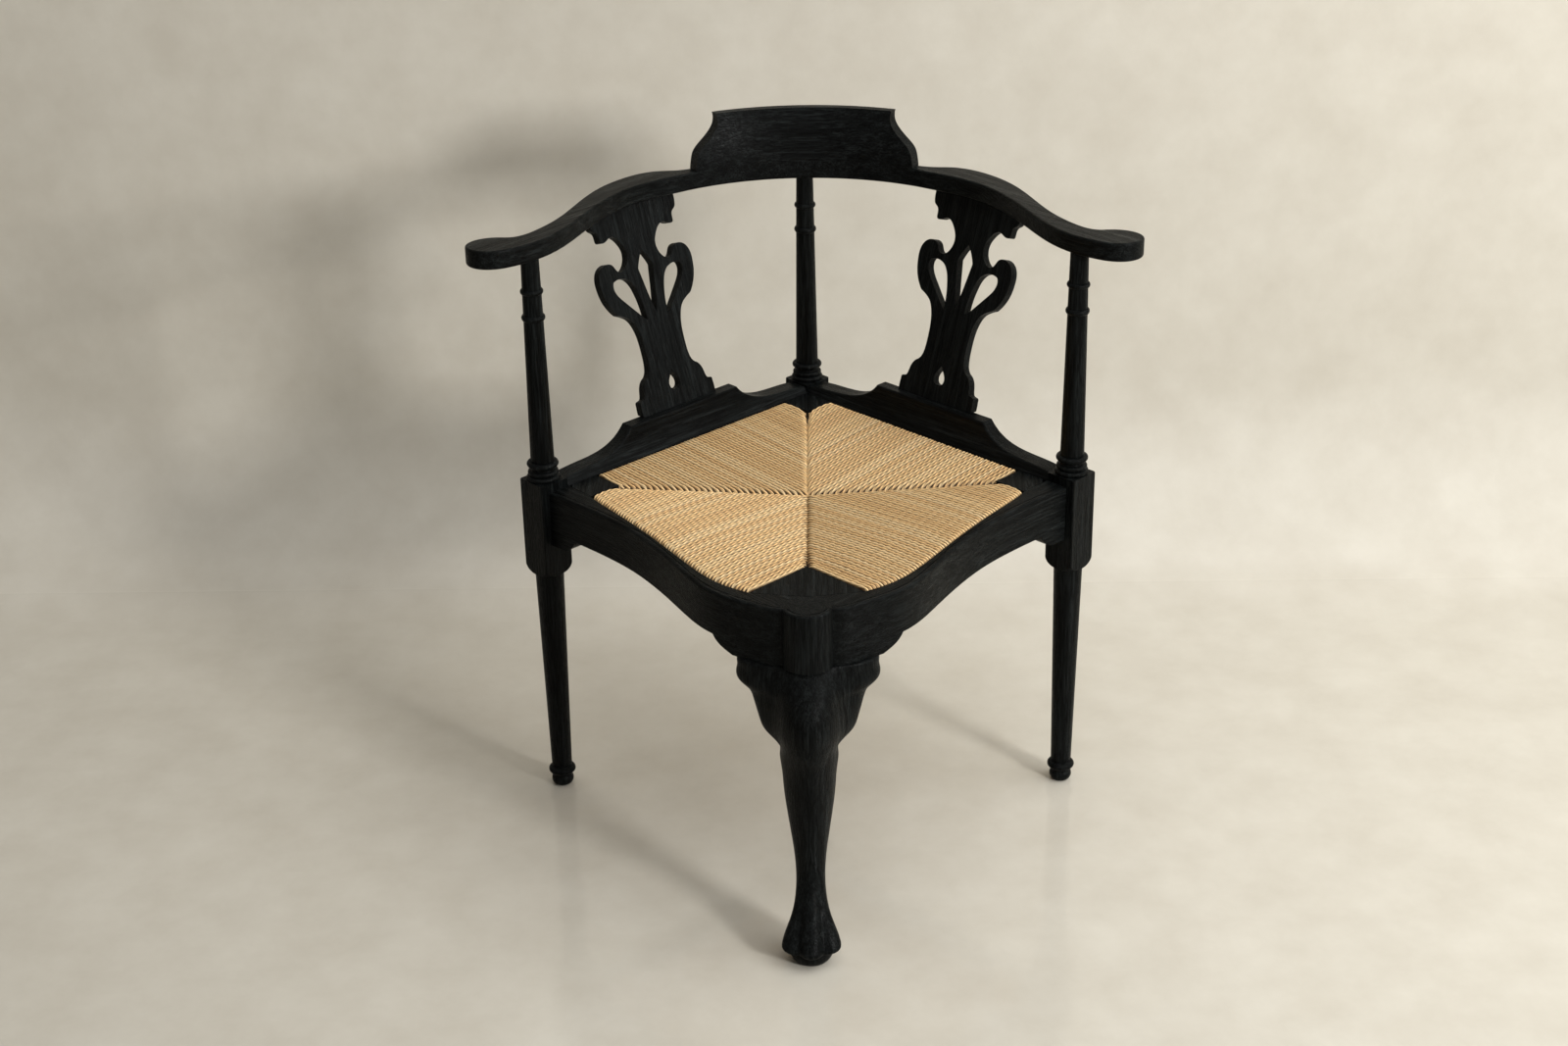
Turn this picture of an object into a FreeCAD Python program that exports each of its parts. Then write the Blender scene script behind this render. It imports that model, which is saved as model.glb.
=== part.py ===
import FreeCAD, Part
import os
from math import atan2, cos, degrees, exp, radians, sin, sqrt

# Corner chair with a drop-in woven seat, in millimetres.
# While it is drawn, the seat's square is centred on the origin with one corner to the front (-Y).
# The posts stand on the left, right and back corners and the cabriole leg on the front corner.
# Rail coordinates are s along a rail, t outwards from the middle of the seat, z up.
# The left half is drawn and the right half is its mirror image.
# At the end everything is moved along Y, so that the origin is under the middle of the whole chair.

V = FreeCAD.Vector
ORIGIN = V(0, 0, 0)
UP = V(0, 0, 1)

# Overall sizes
post_offset = 325.0
seat_height = 425.0
arm_rise = 295.0
arm_thickness = 23.0
crest_height = 67.0
block_side = 42.0

# Reach of shapes that only cut others
far = 500.0

# Heights and the square inside the rails, worked out from the overall sizes
root_two = sqrt(2)
half_block = block_side / 2
room_half = post_offset / root_two - half_block
block_face = room_half
arm_underside = seat_height + arm_rise
arm_top = arm_underside + arm_thickness
crest_top = arm_top + crest_height

# Square part of the posts, from below the seat's height to above it
block_drop = 106.0
block_rise = 11.0
block_chamfer_height = 10.0
block_corner_wear = 0.8
block_bottom = seat_height - block_drop
block_top = seat_height + block_rise

# Turned lower legs
leg_top_radius = 17.9
leg_bottom_radius = 13.0
leg_taper_bottom = 32.0
ankle_ring_height = 22.0
ankle_ring_radius = 17.4
ankle_ring_half = 4.2
ankle_neck_radius = 12.2
foot_radius = 13.4
foot_height = 13.0
foot_contact_radius = 9.5

# Turned arm posts
base_ring_radius = 20.8
base_ring_height = 6.5
cushion_ring_radius = 19.0
cushion_ring_height = 6.5
neck_radius = 15.2
neck_height = 4.0
bead_radius = 19.7
bead_height = 7.0
shaft_bottom_radius = 14.8
shaft_top_radius = 11.0
lower_ring_drop = 73.5
lower_ring_radius = 14.4
lower_ring_half = 3.4
upper_ring_drop = 40.5
upper_ring_radius = 13.9
upper_ring_half = 3.0
ring_step = 0.8
post_tenon_radius = 8.0
post_tenon_length = 16.0
post_tenon_chamfer = 1.0
core_radius = half_block - 3
core_overlap = 10.0

# Rails, with each drop measured down from the seat's height
rail_drop = 54.0
rail_end_drop = 71.0
rail_end_length = 22.0
rail_end_curve = 19.0
knee_drop = 72.0
knee_drop_start = 78.0
knee_drop_bend = 4.5
knee_drop_end = 49.0
back_rail_drop = 58.0
back_rail_thickness = 36.0
lip_bead_width = 6.0
lip_bead_rounding = 3.2
quirk_width = 1.1
quirk_depth = 1.4
rail_edge_rounding = 1.5
rail_bottom = seat_height - rail_drop
rail_end_bottom = seat_height - rail_end_drop
knee_top = seat_height - knee_drop
back_rail_bottom = seat_height - back_rail_drop

# Outer edge of the front rails in plan, from the left post to the front corner
# Each point is a share of block_face along the rail and the rail's width there
front_rail_edge = [
    (1.0, 30.7), (0.84, 28.7), (0.67, 27.7), (0.48, 28.2), (0.287, 31.2), (0.096, 38.2), (-0.12, 49.7),
    (-0.335, 63.2), (-0.503, 72.2), (-0.632, 74.7), (-0.766, 71.7), (-0.886, 66.2), (-0.982, 61.2),
    (-1.063, 51.2),
]

# Rounded nose of the front corner
nose_setback = 5.0
nose_radius = sqrt(2 * half_block ** 2 + nose_setback ** 2)
nose_groove_share = 0.35

# Mortise and tenon joints
tenon_thickness = 12.0
tenon_length = 15.0
tenon_shoulder = 8.0
tenon_root = 1.0
tenon_mitre_gap = 0.4
front_tenon_drop = 61.0
front_tenon_height = 30.0
back_tenon_drop = 49.0
back_tenon_height = 36.0
joint_clearance = 0.1
mortise_end_gap = 1.0

# Drop-in seat
seat_clearance = 0.8
seat_rest_gap = 0.3
slip_rail_thickness = 16.0
slip_rail_width = 38.0
cord_thickness = 4.0
corner_block_side = 43.5
corner_block_chamfer = 4.0
seat_crown = 2.0
seat_dip = 13.0
seat_slope_margin = 14.0
woven_edge_rounding = 6.0
woven_gap = 0.3
slip_tenon_length = 7.5
slip_tenon_thickness = 8.0
slip_tenon_width = 24.0
front_block_nose = 14.8
seat_floor = seat_height - slip_rail_thickness - 2 * cord_thickness
slip_half = room_half - seat_clearance
block_edge = slip_half - corner_block_side

# Outer edge of the front of the drop-in seat in plan, from the left corner block
# Each point is a share of slip_half along the side and how far the edge lies outside the square
slip_front_edge = [
    (0.793, 1.5), (0.692, 6.5), (0.505, 12.5), (0.303, 19.5), (0.096, 28), (-0.13, 39), (-0.351, 49.5),
    (-0.529, 55), (-0.673, 53.5), (-0.808, 46.5),
]

# Shoes under the splats
shoe_rise = 40.0
shoe_end_rise = 8.0
shoe_back_inset = 5.0
shoe_top_half_length = 92.0
shoe_sweep_half_length = 150.0
shoe_sweep_step = 5.0
shoe_front_slope = 11.7
shoe_hollow = 1.2
shoe_edge_rounding = 2.5
shoe_top = seat_height + shoe_rise
shoe_end_top = seat_height + shoe_end_rise

# Splats
splat_thickness = 11.0
splat_set_back = 22.2
splat_top_margin = 19.0
arm_over_splat_share = 0.907
splat_tenon_length = 9.0
splat_tenon_thickness = 7.0
splat_tenon_inset = 14.0
splat_spare = 6.0
splat_foot_front = room_half + splat_set_back
splat_run = arm_over_splat_share * post_offset + splat_top_margin - splat_foot_front
splat_lean = degrees(atan2(splat_run, arm_underside - shoe_top))
splat_length = (arm_underside - shoe_top) / cos(radians(splat_lean))

# Arm bow, whose plan grows with the distance of the posts
bow_radius_share = 0.791
bow_set_forward = 1.0
bow_back_depth = 34.0
bow_arc_angle = 36.0
arm_edge_rounding = 2.6
arm_edge_points = 80
arm_stretches = 8
bow_inner_radius = bow_radius_share * post_offset
bow_centre_y = post_offset - bow_set_forward - bow_back_depth / 2 - bow_inner_radius

# Crest rail
crest_angle = 32.2
crest_top_angle = 24.2
crest_thickness = 18.5
crest_scoop = 16.0
crest_rake = 9.0
crest_spare_angle = 4.0
crest_screw_angles = (9.0, 25.0)
crest_screw_sink = 8.0
crest_seat_depth = 10.0

# Screws
screw_radius = 2.0
screw_head_radius = 4.2
screw_head_height = 3.0
screw_point_radius = 0.3
screw_clearance = 0.08
screw_access = 40.0
crest_screw_bite = 24.0
block_screw_bite = 14.0
bearer_screw_bite = 12.0

# Glue blocks and bearers under the drop-in seat
glue_block_leg = 62.0
glue_block_drop = 59.0
glue_block_height = 30.0
glue_block_tip = 6.0
glue_block_tip_width = 8.0
screw_along_share = 0.55
screw_head_share = 0.28
bearer_width = 16.0
bearer_height = 16.0
bearer_end_gap = 2.0
bearer_screw_sink = 2.0
bearer_screw_shares = (-0.7, 0.0, 0.7)
glue_block_bottom = seat_height - glue_block_drop


def extrude(wire, height):
    """Solid standing on a flat wire."""
    return Part.Face(wire).extrude(UP * height)


def polygon(points, z=0.0):
    """Closed wire through plan points at height z."""
    corners = [V(x, y, z) for x, y in points]
    return Part.makePolygon(corners + corners[:1])


def curve(points):
    """Smooth edge through the points."""
    spline = Part.BSplineCurve()
    spline.interpolate(points)
    return spline.toShape()


def in_stretches(edge, count):
    """One smooth edge as several that follow one another."""
    first, last = edge.ParameterRange
    step = (last - first) / count
    return [edge.Curve.toShape(first + step * i, first + step * (i + 1)) for i in range(count)]


def line(start, end):
    return Part.makeLine(start, end)


def box(x0, x1, y0, y1, z0, z1):
    return Part.makeBox(x1 - x0, y1 - y0, z1 - z0, V(x0, y0, z0))


def turned(steps):
    """Solid of revolution about Z from (radius, z) steps, where a four-number step is an arc."""
    edges = []
    here = V(steps[0][0], 0, steps[0][1])
    for step in steps[1:]:
        end = V(step[-2], 0, step[-1])
        if len(step) == 4:
            edges.append(Part.Arc(here, V(step[0], 0, step[1]), end).toShape())
        else:
            edges.append(line(here, end))
        here = end
    first = V(0, 0, steps[0][1])
    last = V(0, 0, steps[-1][1])
    edges = [line(first, V(steps[0][0], 0, steps[0][1]))] + edges
    edges.append(line(here, last))
    edges.append(line(last, first))
    return Part.Face(Part.Wire(edges)).revolve(ORIGIN, UP, 360)


def to_front_left(shape):
    """From rail coordinates to the front left side."""
    return shape.rotated(ORIGIN, UP, 135)


def to_back_left(shape):
    """From rail coordinates to the back left side."""
    return shape.rotated(ORIGIN, UP, 45)


def mirrored(shape):
    return shape.mirror(ORIGIN, V(1, 0, 0))


def cut_all(shape, tools):
    for tool in tools:
        shape = shape.cut(tool)
    return shape


def fuse_all(shapes):
    shape = shapes[0]
    for other in shapes[1:]:
        shape = shape.fuse(other)
    return shape.removeSplitter()


# Screws, drawn at the origin with the point downwards and the head's top at z = 0
def screw(length, play=0.0):
    shank = screw_radius + play
    head = screw_head_radius + play
    point = screw_radius * 1.5
    return turned([
        (head, 0), (shank, -screw_head_height - play), (shank, point - length - play),
        (screw_point_radius, -length - play),
    ])


def screw_hole(length, access):
    """Clearance for a screw and, behind its head, the access hole."""
    well = Part.makeCylinder(screw_head_radius + screw_clearance, access, ORIGIN, UP)
    return screw(length, screw_clearance).fuse(well)


def aim(shape, place, direction):
    """Turn a shape whose point looks down so that it looks along direction."""
    turn = FreeCAD.Rotation(V(0, 0, -1), direction)
    moved = shape.copy()
    moved.Placement = FreeCAD.Placement(place, turn)
    return moved



# Tenons of the rails
def tenon_box(front, end, play=0.0):
    """Tenon in rail coordinates at the end s = end * block_face, mitred to clear its neighbour.
    With play it is the square mortise instead, that much larger."""
    height = front_tenon_height if front else back_tenon_height
    bottom = seat_height - (front_tenon_drop if front else back_tenon_drop)
    inner = room_half + tenon_shoulder
    outer = inner + tenon_thickness
    start = block_face - tenon_root
    finish = block_face + tenon_length
    if play:
        low, high = sorted((end * start, end * (finish + mortise_end_gap)))
        return box(low, high, inner - play, outer + play, bottom - play, bottom + height + play)
    plan = [
        (start, inner), (block_face + tenon_shoulder - tenon_mitre_gap, inner),
        (finish, room_half + tenon_length + tenon_mitre_gap), (finish, outer), (start, outer),
    ]
    return extrude(polygon([(end * s, t) for s, t in plan], bottom), height)


def corner_mortises(corner):
    """Mortises of one corner, which its two rails' tenons enter."""
    if corner == "left":
        return [
            to_front_left(tenon_box(True, 1, joint_clearance)),
            to_back_left(tenon_box(False, -1, joint_clearance)),
        ]
    if corner == "back":
        tenon = to_back_left(tenon_box(False, 1, joint_clearance))
        return [tenon, mirrored(tenon)]
    tenon = to_front_left(tenon_box(True, -1, joint_clearance))
    return [tenon, mirrored(tenon)]


# Straight leg, block and arm post, turned from one length of wood
def post_turning():
    cushion_bottom = block_top + base_ring_height
    cushion_top = cushion_bottom + cushion_ring_height
    bead_bottom = cushion_top + neck_height
    bead_top = bead_bottom + bead_height
    lower_ring = arm_underside - lower_ring_drop
    lower_low = lower_ring - lower_ring_half
    lower_high = lower_ring + lower_ring_half
    upper_ring = arm_underside - upper_ring_drop
    upper_low = upper_ring - upper_ring_half
    upper_high = upper_ring + upper_ring_half
    fall = (shaft_bottom_radius - shaft_top_radius) / (arm_underside - bead_top)
    at_lower = shaft_bottom_radius - fall * (lower_low - bead_top)
    at_upper = shaft_bottom_radius - fall * (upper_low - bead_top)
    base_radius = base_ring_radius - 2 * ring_step
    return turned([
        (core_radius, block_top - core_overlap),
        (core_radius, block_top),
        (base_radius, block_top),
        (base_ring_radius, block_top + base_ring_height / 2, base_radius, cushion_bottom - ring_step),
        (base_ring_radius - 5 * ring_step, cushion_bottom),
        (cushion_ring_radius, cushion_bottom + cushion_ring_height / 2, neck_radius + ring_step, cushion_top),
        (neck_radius, cushion_top + ring_step / 2),
        (neck_radius - ring_step / 2, cushion_top + neck_height / 2, neck_radius + ring_step, bead_bottom),
        (neck_radius + 2 * ring_step, bead_bottom),
        (bead_radius, bead_bottom + bead_height / 2, shaft_bottom_radius + ring_step, bead_top),
        (shaft_bottom_radius, bead_top),
        (at_lower, lower_low),
        (at_lower + ring_step, lower_low),
        (lower_ring_radius, lower_ring - ring_step, at_lower + ring_step, lower_high),
        (at_lower, lower_high),
        (at_upper, upper_low),
        (at_upper + ring_step, upper_low),
        (upper_ring_radius, upper_ring - ring_step, at_upper + ring_step, upper_high),
        (at_upper, upper_high),
        (shaft_top_radius, arm_underside),
        (post_tenon_radius, arm_underside),
        (post_tenon_radius, arm_underside + post_tenon_length - post_tenon_chamfer),
        (post_tenon_radius - post_tenon_chamfer, arm_underside + post_tenon_length),
    ])


def leg_turning():
    ring_low = ankle_ring_height - ankle_ring_half
    ring_high = ankle_ring_height + ankle_ring_half
    return turned([
        (foot_contact_radius, 0),
        (foot_radius, foot_height / 3, foot_radius - ring_step, foot_height),
        (ankle_neck_radius, ring_low - ring_step),
        (ankle_neck_radius + ring_step, ring_low),
        (ankle_ring_radius, ankle_ring_height, ankle_neck_radius + 2 * ring_step, ring_high),
        (ankle_neck_radius, ring_high + ring_step),
        (ankle_neck_radius, ring_high + 4 * ring_step, leg_bottom_radius, leg_taper_bottom),
        (leg_top_radius, block_bottom - block_chamfer_height),
        (leg_top_radius, block_bottom + core_overlap),
    ])


def square_block():
    """Square part of a post, with worn corners and its lower end turned to a cone."""
    low = block_bottom - block_chamfer_height
    worn = half_block * root_two - block_corner_wear
    square = box(-half_block, half_block, -half_block, half_block, low, block_top)
    cone = turned([
        (leg_top_radius, low),
        (worn - block_corner_wear / 2, block_bottom, worn, block_bottom + 2 * block_corner_wear),
        (worn, block_top - block_corner_wear),
        (worn - block_corner_wear, block_top),
    ])
    return square.rotated(ORIGIN, UP, 45).common(cone)


def post(corner):
    places = {"left": V(-post_offset, 0, 0), "right": V(post_offset, 0, 0), "back": V(0, post_offset, 0)}
    if corner == "right":
        return mirrored(post("left"))
    shape = fuse_all([square_block(), leg_turning(), post_turning()])
    shape.translate(places[corner])
    return cut_all(shape, corner_mortises(corner))


# Cabriole front leg, as level sections from the top of the knee to the toes, drawn for a knee 353 high
# Each is (height, how far forward, front reach, back reach, side reach, wing reach, toe reach, squareness)
bracket_depth = 95.0
bracket_set_back = 12.0
cabriole_sections = [
    (353, 0, 29, 29, 31, 48.5, 0, 1.9),
    (349, 0, 33, 29, 33, 50, 0, 1.9),
    (343, 0, 39, 29, 34, 48.8, 0, 1.9),
    (334, 0, 47, 29, 36, 48.4, 0, 1.9),
    (325, 0, 54.5, 28, 38, 44.4, 0, 1.9),
    (314, 0.5, 60, 28, 39, 31.2, 0, 1.9),
    (304, 2, 62.5, 27.5, 40, 25.4, 0, 1.9),
    (292, 4, 62.5, 27.5, 40.5, 21.3, 0, 1.9),
    (280, 7, 59.5, 28, 40, 18, 0, 1.85),
    (268, 10.5, 54.5, 28, 37, 14.3, 0, 1.8),
    (256, 14, 49, 27, 34, 0.5, 0, 1.7),
    (244, 15.5, 44, 26.5, 33.4, 0, 0, 1.65),
    (225, 18, 38.5, 25.5, 31.6, 0, 0, 1.62),
    (200, 21, 33, 24.5, 29.5, 0, 0, 1.62),
    (172, 24, 27.5, 22.5, 26.2, 0, 0, 1.62),
    (145, 27, 23.5, 20, 22.2, 0, 0, 1.62),
    (120, 31, 20.5, 18, 18.7, 0, 0, 1.65),
    (98, 35.5, 19, 17, 17, 0, 0, 1.8),
    (80, 41, 19.5, 17.5, 17, 0, 0.8, 2),
    (64, 48, 22, 19, 18.6, 0, 2, 2),
    (50, 55, 25, 21, 22, 0, 3.6, 2),
    (38, 61.5, 27.5, 23.5, 27, 0, 5, 2),
    (28, 66, 29, 25.5, 30.4, 0, 6, 2),
    (22, 68.5, 29.5, 27, 31, 0, 6, 2),
    (19, 69, 28.5, 26.8, 30, 0, 5, 2),
    (17.5, 69, 26.5, 26, 28, 0, 3.5, 2),
]
section_points = 48
wing_direction = 14.0
wing_width = 29.0
toe_spread = 62.0
toe_width = 22.0
crease_spread = 31.0
crease_width = 10.0
crease_share = 0.55
pad_overlap = 8.0
pad_floor_radius = 19.0
pad_middle_radius = 24.5
pad_top_radius = 26.0


def knee_height(drawn):
    """Height on the leg from a height in the list of sections."""
    return drawn * knee_top / cabriole_sections[0][0]


def cabriole_section(drawn, forward, front, back, side, wing, toe, power):
    """Level outline: a soft diamond with a wing each side at the knee, and three toes at the foot
    with a crease between them."""
    z = knee_height(drawn)
    centre_y = -post_offset - forward
    swells = [(wing, direction, wing_width) for direction in (wing_direction, 180 - wing_direction)]
    swells += [(toe, direction, toe_width) for direction in (-90, -90 + toe_spread, 270 - toe_spread, 270)]
    swells += [(-toe * crease_share, direction, crease_width)
               for direction in (-90 + crease_spread, 270 - crease_spread)]
    points = []
    for i in range(section_points):
        angle = 360.0 * i / section_points - 90
        across = abs(cos(radians(angle))) / side
        along = abs(sin(radians(angle))) / (front if angle < 0 or angle > 180 else back)
        reach = (across ** power + along ** power) ** (-1 / power)
        for swell, direction, width in swells:
            reach += swell * exp(-((angle - direction) / width) ** 2)
        points.append(V(reach * cos(radians(angle)), centre_y + reach * sin(radians(angle)), z))
    outline = Part.BSplineCurve()
    outline.interpolate(points, PeriodicFlag=True)
    return Part.Wire([outline.toShape()])


def foot_pad():
    """Rounded pad under the toes."""
    toe_bottom = knee_height(cabriole_sections[-1][0])
    middle = (pad_middle_radius, toe_bottom * 0.4)
    pad = turned([
        (pad_floor_radius, 0),
        (*middle, pad_top_radius, toe_bottom),
        (pad_top_radius, toe_bottom + pad_overlap),
    ])
    return pad.translated(V(0, -post_offset - cabriole_sections[-1][1], 0))


def nose_outline(inset, z):
    """Plan of the stump: the square block with its outer corner rounded to a nose."""
    radius = nose_radius - inset
    reach = half_block * root_two + nose_setback
    side = (reach + sqrt(2 * radius ** 2 - reach ** 2)) / 2
    centre_y = -post_offset - nose_setback
    left = V(-side, centre_y + reach - side, z)
    right = V(side, centre_y + reach - side, z)
    front = V(0, centre_y - radius, z)
    back = V(0, centre_y + reach, z)
    return Part.Wire([Part.Arc(left, front, right).toShape(), line(right, back), line(back, left)])


def eased_levels(bottom, top, rounding):
    """Insets and heights that round the lower and upper edges of a flat board."""
    levels = []
    for angle in (0, 30, 60, 90):
        inset = rounding * (1 - sin(radians(angle)))
        rise = rounding * (1 - cos(radians(angle)))
        levels.append((inset, bottom + rise))
    return levels + [(inset, bottom + top - z) for inset, z in reversed(levels)]


def eased_top(bottom, top, rounding):
    """Insets and heights of an upright face whose top edge is rounded."""
    return [(0, bottom)] + eased_levels(bottom, top, rounding)[4:]


def stump_column():
    """Room that the stump takes from the two front rails."""
    return extrude(nose_outline(0, knee_top), seat_height + 1 - knee_top)


def nose_groove():
    """Thin groove that sets off the bead around the top of the nose."""
    centre = V(0, -post_offset - nose_setback, seat_height - quirk_depth)
    radius = nose_radius - lip_bead_width
    ring = Part.makeCylinder(radius, quirk_depth + 1, centre, UP)
    ring = ring.cut(Part.makeCylinder(radius - quirk_width, quirk_depth + 1, centre, UP))
    front = centre.y - radius * nose_groove_share
    return ring.common(box(-radius, radius, centre.y - radius, front, centre.z, seat_height + 1))


def front_stump():
    """Stump of the leg, which carries the moulded lip of the rails round the corner."""
    levels = eased_top(knee_top, seat_height, lip_bead_rounding)
    nose = Part.makeLoft([nose_outline(inset, z) for inset, z in levels], True, True)
    left = to_front_left(front_rail_mass())
    column = stump_column()
    stump = fuse_all([nose, column.common(left), column.common(mirrored(left))])
    return cut_all(stump, [nose_groove(), seat_room()])


def seat_room():
    """Room for the drop-in seat, down to the ledge it rests on."""
    return slip_prism(seat_clearance, seat_floor - seat_rest_gap, seat_height + 5)


def knee_mass():
    """Carved knee and leg in one, before the brackets are parted from it."""
    return Part.makeLoft([cabriole_section(*row) for row in cabriole_sections], True, False)


def bracket_region():
    """Room outside the front leg's left face, where the glued knee bracket lies."""
    return to_front_left(box(-block_face, 0, 0, far, knee_top - bracket_depth, knee_top))


def front_leg(mass):
    leg = cut_all(mass, [bracket_region(), mirrored(bracket_region())])
    core = Part.makeCylinder(core_radius, 2 * core_overlap, V(0, -post_offset, knee_top - core_overlap))
    shape = fuse_all([leg, foot_pad(), front_stump(), core])
    return cut_all(shape, corner_mortises("front"))


def knee_bracket(mass):
    """Left knee bracket, glued to the leg under the rail and cut away behind."""
    behind = box(-far, 0, 0, room_half + bracket_set_back, 0, far)
    return mass.common(bracket_region()).cut(to_front_left(behind))


# Front rails
def front_rail_outline(inset, z):
    """Plan of a front rail in rail coordinates."""
    points = [V(share * block_face, room_half + width - inset, z) for share, width in front_rail_edge]
    first = points[0]
    last = points[-1]
    inner_end = V(first.x, room_half, z)
    inner_front = V(-room_half, room_half, z)
    front_end = V(last.x, -last.x, z)
    return Part.Wire(in_stretches(curve(points), 4) + [
        line(last, front_end), line(front_end, inner_front), line(inner_front, inner_end),
        line(inner_end, first),
    ])


def front_rail_mass():
    """Front rail before the joints are cut, in rail coordinates, with its bead and thin groove."""
    levels = eased_top(knee_top, seat_height, lip_bead_rounding)
    rail = Part.makeLoft([front_rail_outline(inset, z) for inset, z in levels], True, True)
    floor = seat_height - quirk_depth
    outer = extrude(front_rail_outline(lip_bead_width, floor), quirk_depth + 1)
    inner = extrude(front_rail_outline(lip_bead_width + quirk_width, floor - 1), quirk_depth + 3)
    return rail.cut(outer.cut(inner))


def front_rail_underside():
    """What is sawn away below a front rail, as a prism across it."""
    end = block_face - rail_end_length
    end_rise = rail_bottom - rail_end_bottom
    low_end = V(end, 0, rail_end_bottom)
    end_bend = V(end - rail_end_curve * 0.72, 0, rail_end_bottom + end_rise * 0.42)
    high_end = V(end - rail_end_curve, 0, rail_bottom)
    start = knee_drop_start - block_face
    finish = knee_drop_end - block_face
    drop = rail_bottom - knee_top
    fall = [
        V(start, 0, rail_bottom), V(start - knee_drop_bend, 0, knee_top + drop * 0.7),
        V((start + finish) / 2, 0, knee_top + drop * 0.34), V(finish, 0, knee_top),
    ]
    edges = [
        line(V(far, 0, 0), V(far, 0, rail_end_bottom)),
        line(V(far, 0, rail_end_bottom), low_end),
        Part.Arc(low_end, end_bend, high_end).toShape(),
        line(high_end, fall[0]),
        curve(fall),
        line(fall[-1], V(-far, 0, knee_top)),
        line(V(-far, 0, knee_top), V(-far, 0, 0)),
        line(V(-far, 0, 0), V(far, 0, 0)),
    ]
    return Part.Face(Part.Wire(edges)).extrude(V(0, far, 0))


def front_left_rail():
    body = to_front_left(front_rail_mass().cut(front_rail_underside()))
    body = cut_all(body, [stump_column(), seat_room()])
    tenons = [to_front_left(tenon_box(True, end)) for end in (1, -1)]
    return fuse_all([body] + tenons)


# Back rails and shoes
def back_left_rail():
    outer = room_half + back_rail_thickness
    body = box(-block_face, block_face, room_half, outer, back_rail_bottom, seat_height)
    low = [e for e in body.Edges if e.BoundBox.XLength > block_face and e.BoundBox.ZMax < rail_bottom]
    body = body.makeFillet(rail_edge_rounding, low)
    tenons = [tenon_box(False, end) for end in (1, -1)]
    return to_back_left(fuse_all([body] + tenons))


def shoe_section(front, back):
    """Section of the shoe's moulding, hollowed in front, on the plane of the left post's face."""
    x = -block_face - 1
    above = shoe_top + 1
    hollow = V(x, (room_half + front) / 2 + shoe_hollow, (seat_height + shoe_top) / 2 - 5 * shoe_hollow)
    low_front = V(x, room_half, seat_height)
    low_back = V(x, back, seat_height)
    high_back = V(x, back, above)
    high_front = V(x, front, above)
    return Part.Wire([
        line(low_front, low_back), line(low_back, high_back), line(high_back, high_front),
        Part.Arc(high_front, hollow, low_front).toShape(),
    ])


def back_left_shoe():
    """Moulded shoe on a back rail, high under the splat and swept down to the posts."""
    back = room_half + back_rail_thickness - shoe_back_inset
    ease = (shoe_sweep_half_length + shoe_top_half_length) / 2
    right = [
        V(shoe_top_half_length, 0, shoe_top), V(ease, 0, shoe_end_top + (shoe_top - shoe_end_top) * 0.34),
        V(shoe_sweep_half_length, 0, shoe_end_top + shoe_sweep_step), V(block_face, 0, shoe_end_top),
    ]
    left = [V(-p.x, 0, p.z) for p in reversed(right)]
    low_right = V(block_face, 0, seat_height)
    low_left = V(-block_face, 0, seat_height)
    wire = Part.Wire([
        curve(left), line(left[-1], right[0]), curve(right), line(right[-1], low_right),
        line(low_right, low_left), line(low_left, left[0]),
    ])
    board = Part.Face(wire).extrude(V(0, far, 0))
    section = shoe_section(room_half + shoe_front_slope, back)
    moulding = Part.Face(section).extrude(V(2 * block_face + 2, 0, 0))
    shoe = board.common(moulding)
    shoe = shoe.makeFillet(shoe_edge_rounding, [e for e in shoe.Edges if is_shoe_top_edge(e)])
    return to_back_left(shoe.cut(splat_tenon(-1, joint_clearance)))


def is_shoe_top_edge(edge):
    """Whether an edge runs along the top of the shoe, and not round its ends."""
    extent = edge.BoundBox
    return extent.XLength > 20 and extent.ZMax > shoe_end_top + 0.5 and extent.YLength < shoe_front_slope


# Splats, drawn upright as (s, height above the shoe) with the front face at t = 0, then leant back
# The right half of the outline runs from the foot to the top, and each list is one smooth stretch
splat_half = [
    [(62, -2), (62.5, 6), (62, 15)],
    [(62, 15), (60.5, 19), (55, 20.5), (52.5, 25), (50.5, 33), (46.5, 40), (41, 44)],
    [(41, 44), (36.5, 49), (34, 57), (33, 73), (34, 93), (38, 108), (43.5, 117), (52, 123), (61, 127)],
    [(61, 127), (68.5, 136), (74.5, 148), (77.5, 163), (76.5, 177), (71, 185.5), (62, 189.6), (54, 188.5)],
    [(54, 188.5), (49.5, 184), (45.5, 178), (39, 176), (32, 179.5), (26.5, 187), (24.5, 196)],
    [(24.5, 196), (26, 203), (30, 210), (36.5, 217), (43.5, 219.8), (50, 217.3), (57, 215.2)],
    [(57, 215.2), (61, 216.5), (61.8, 223), (64, 229), (69, 232.5), (71.5, 238), (72, 255)],
]
side_hole = [
    [(17.5, 111), (27.5, 120.5), (37, 130.5), (47, 141), (54.5, 150), (58, 160), (56, 166.5)],
    [(56, 166.5), (49, 168.5), (41, 168), (34, 165.5)],
    [(34, 165.5), (27.5, 159), (22, 146), (18.5, 130), (17.5, 111)],
]
kite_hole = [
    [(0, 195), (6.5, 186), (12.5, 174)],
    [(12.5, 174), (9, 155), (5.5, 137), (0, 116)],
]
drop_hole = [
    [(0, 48), (5, 37), (8.8, 29), (7.5, 23.5), (0, 21)],
]


def stretch(points, sign=1):
    corners = [V(sign * s, 0, z) for s, z in points]
    return line(*corners) if len(corners) == 2 else curve(corners)


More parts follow.
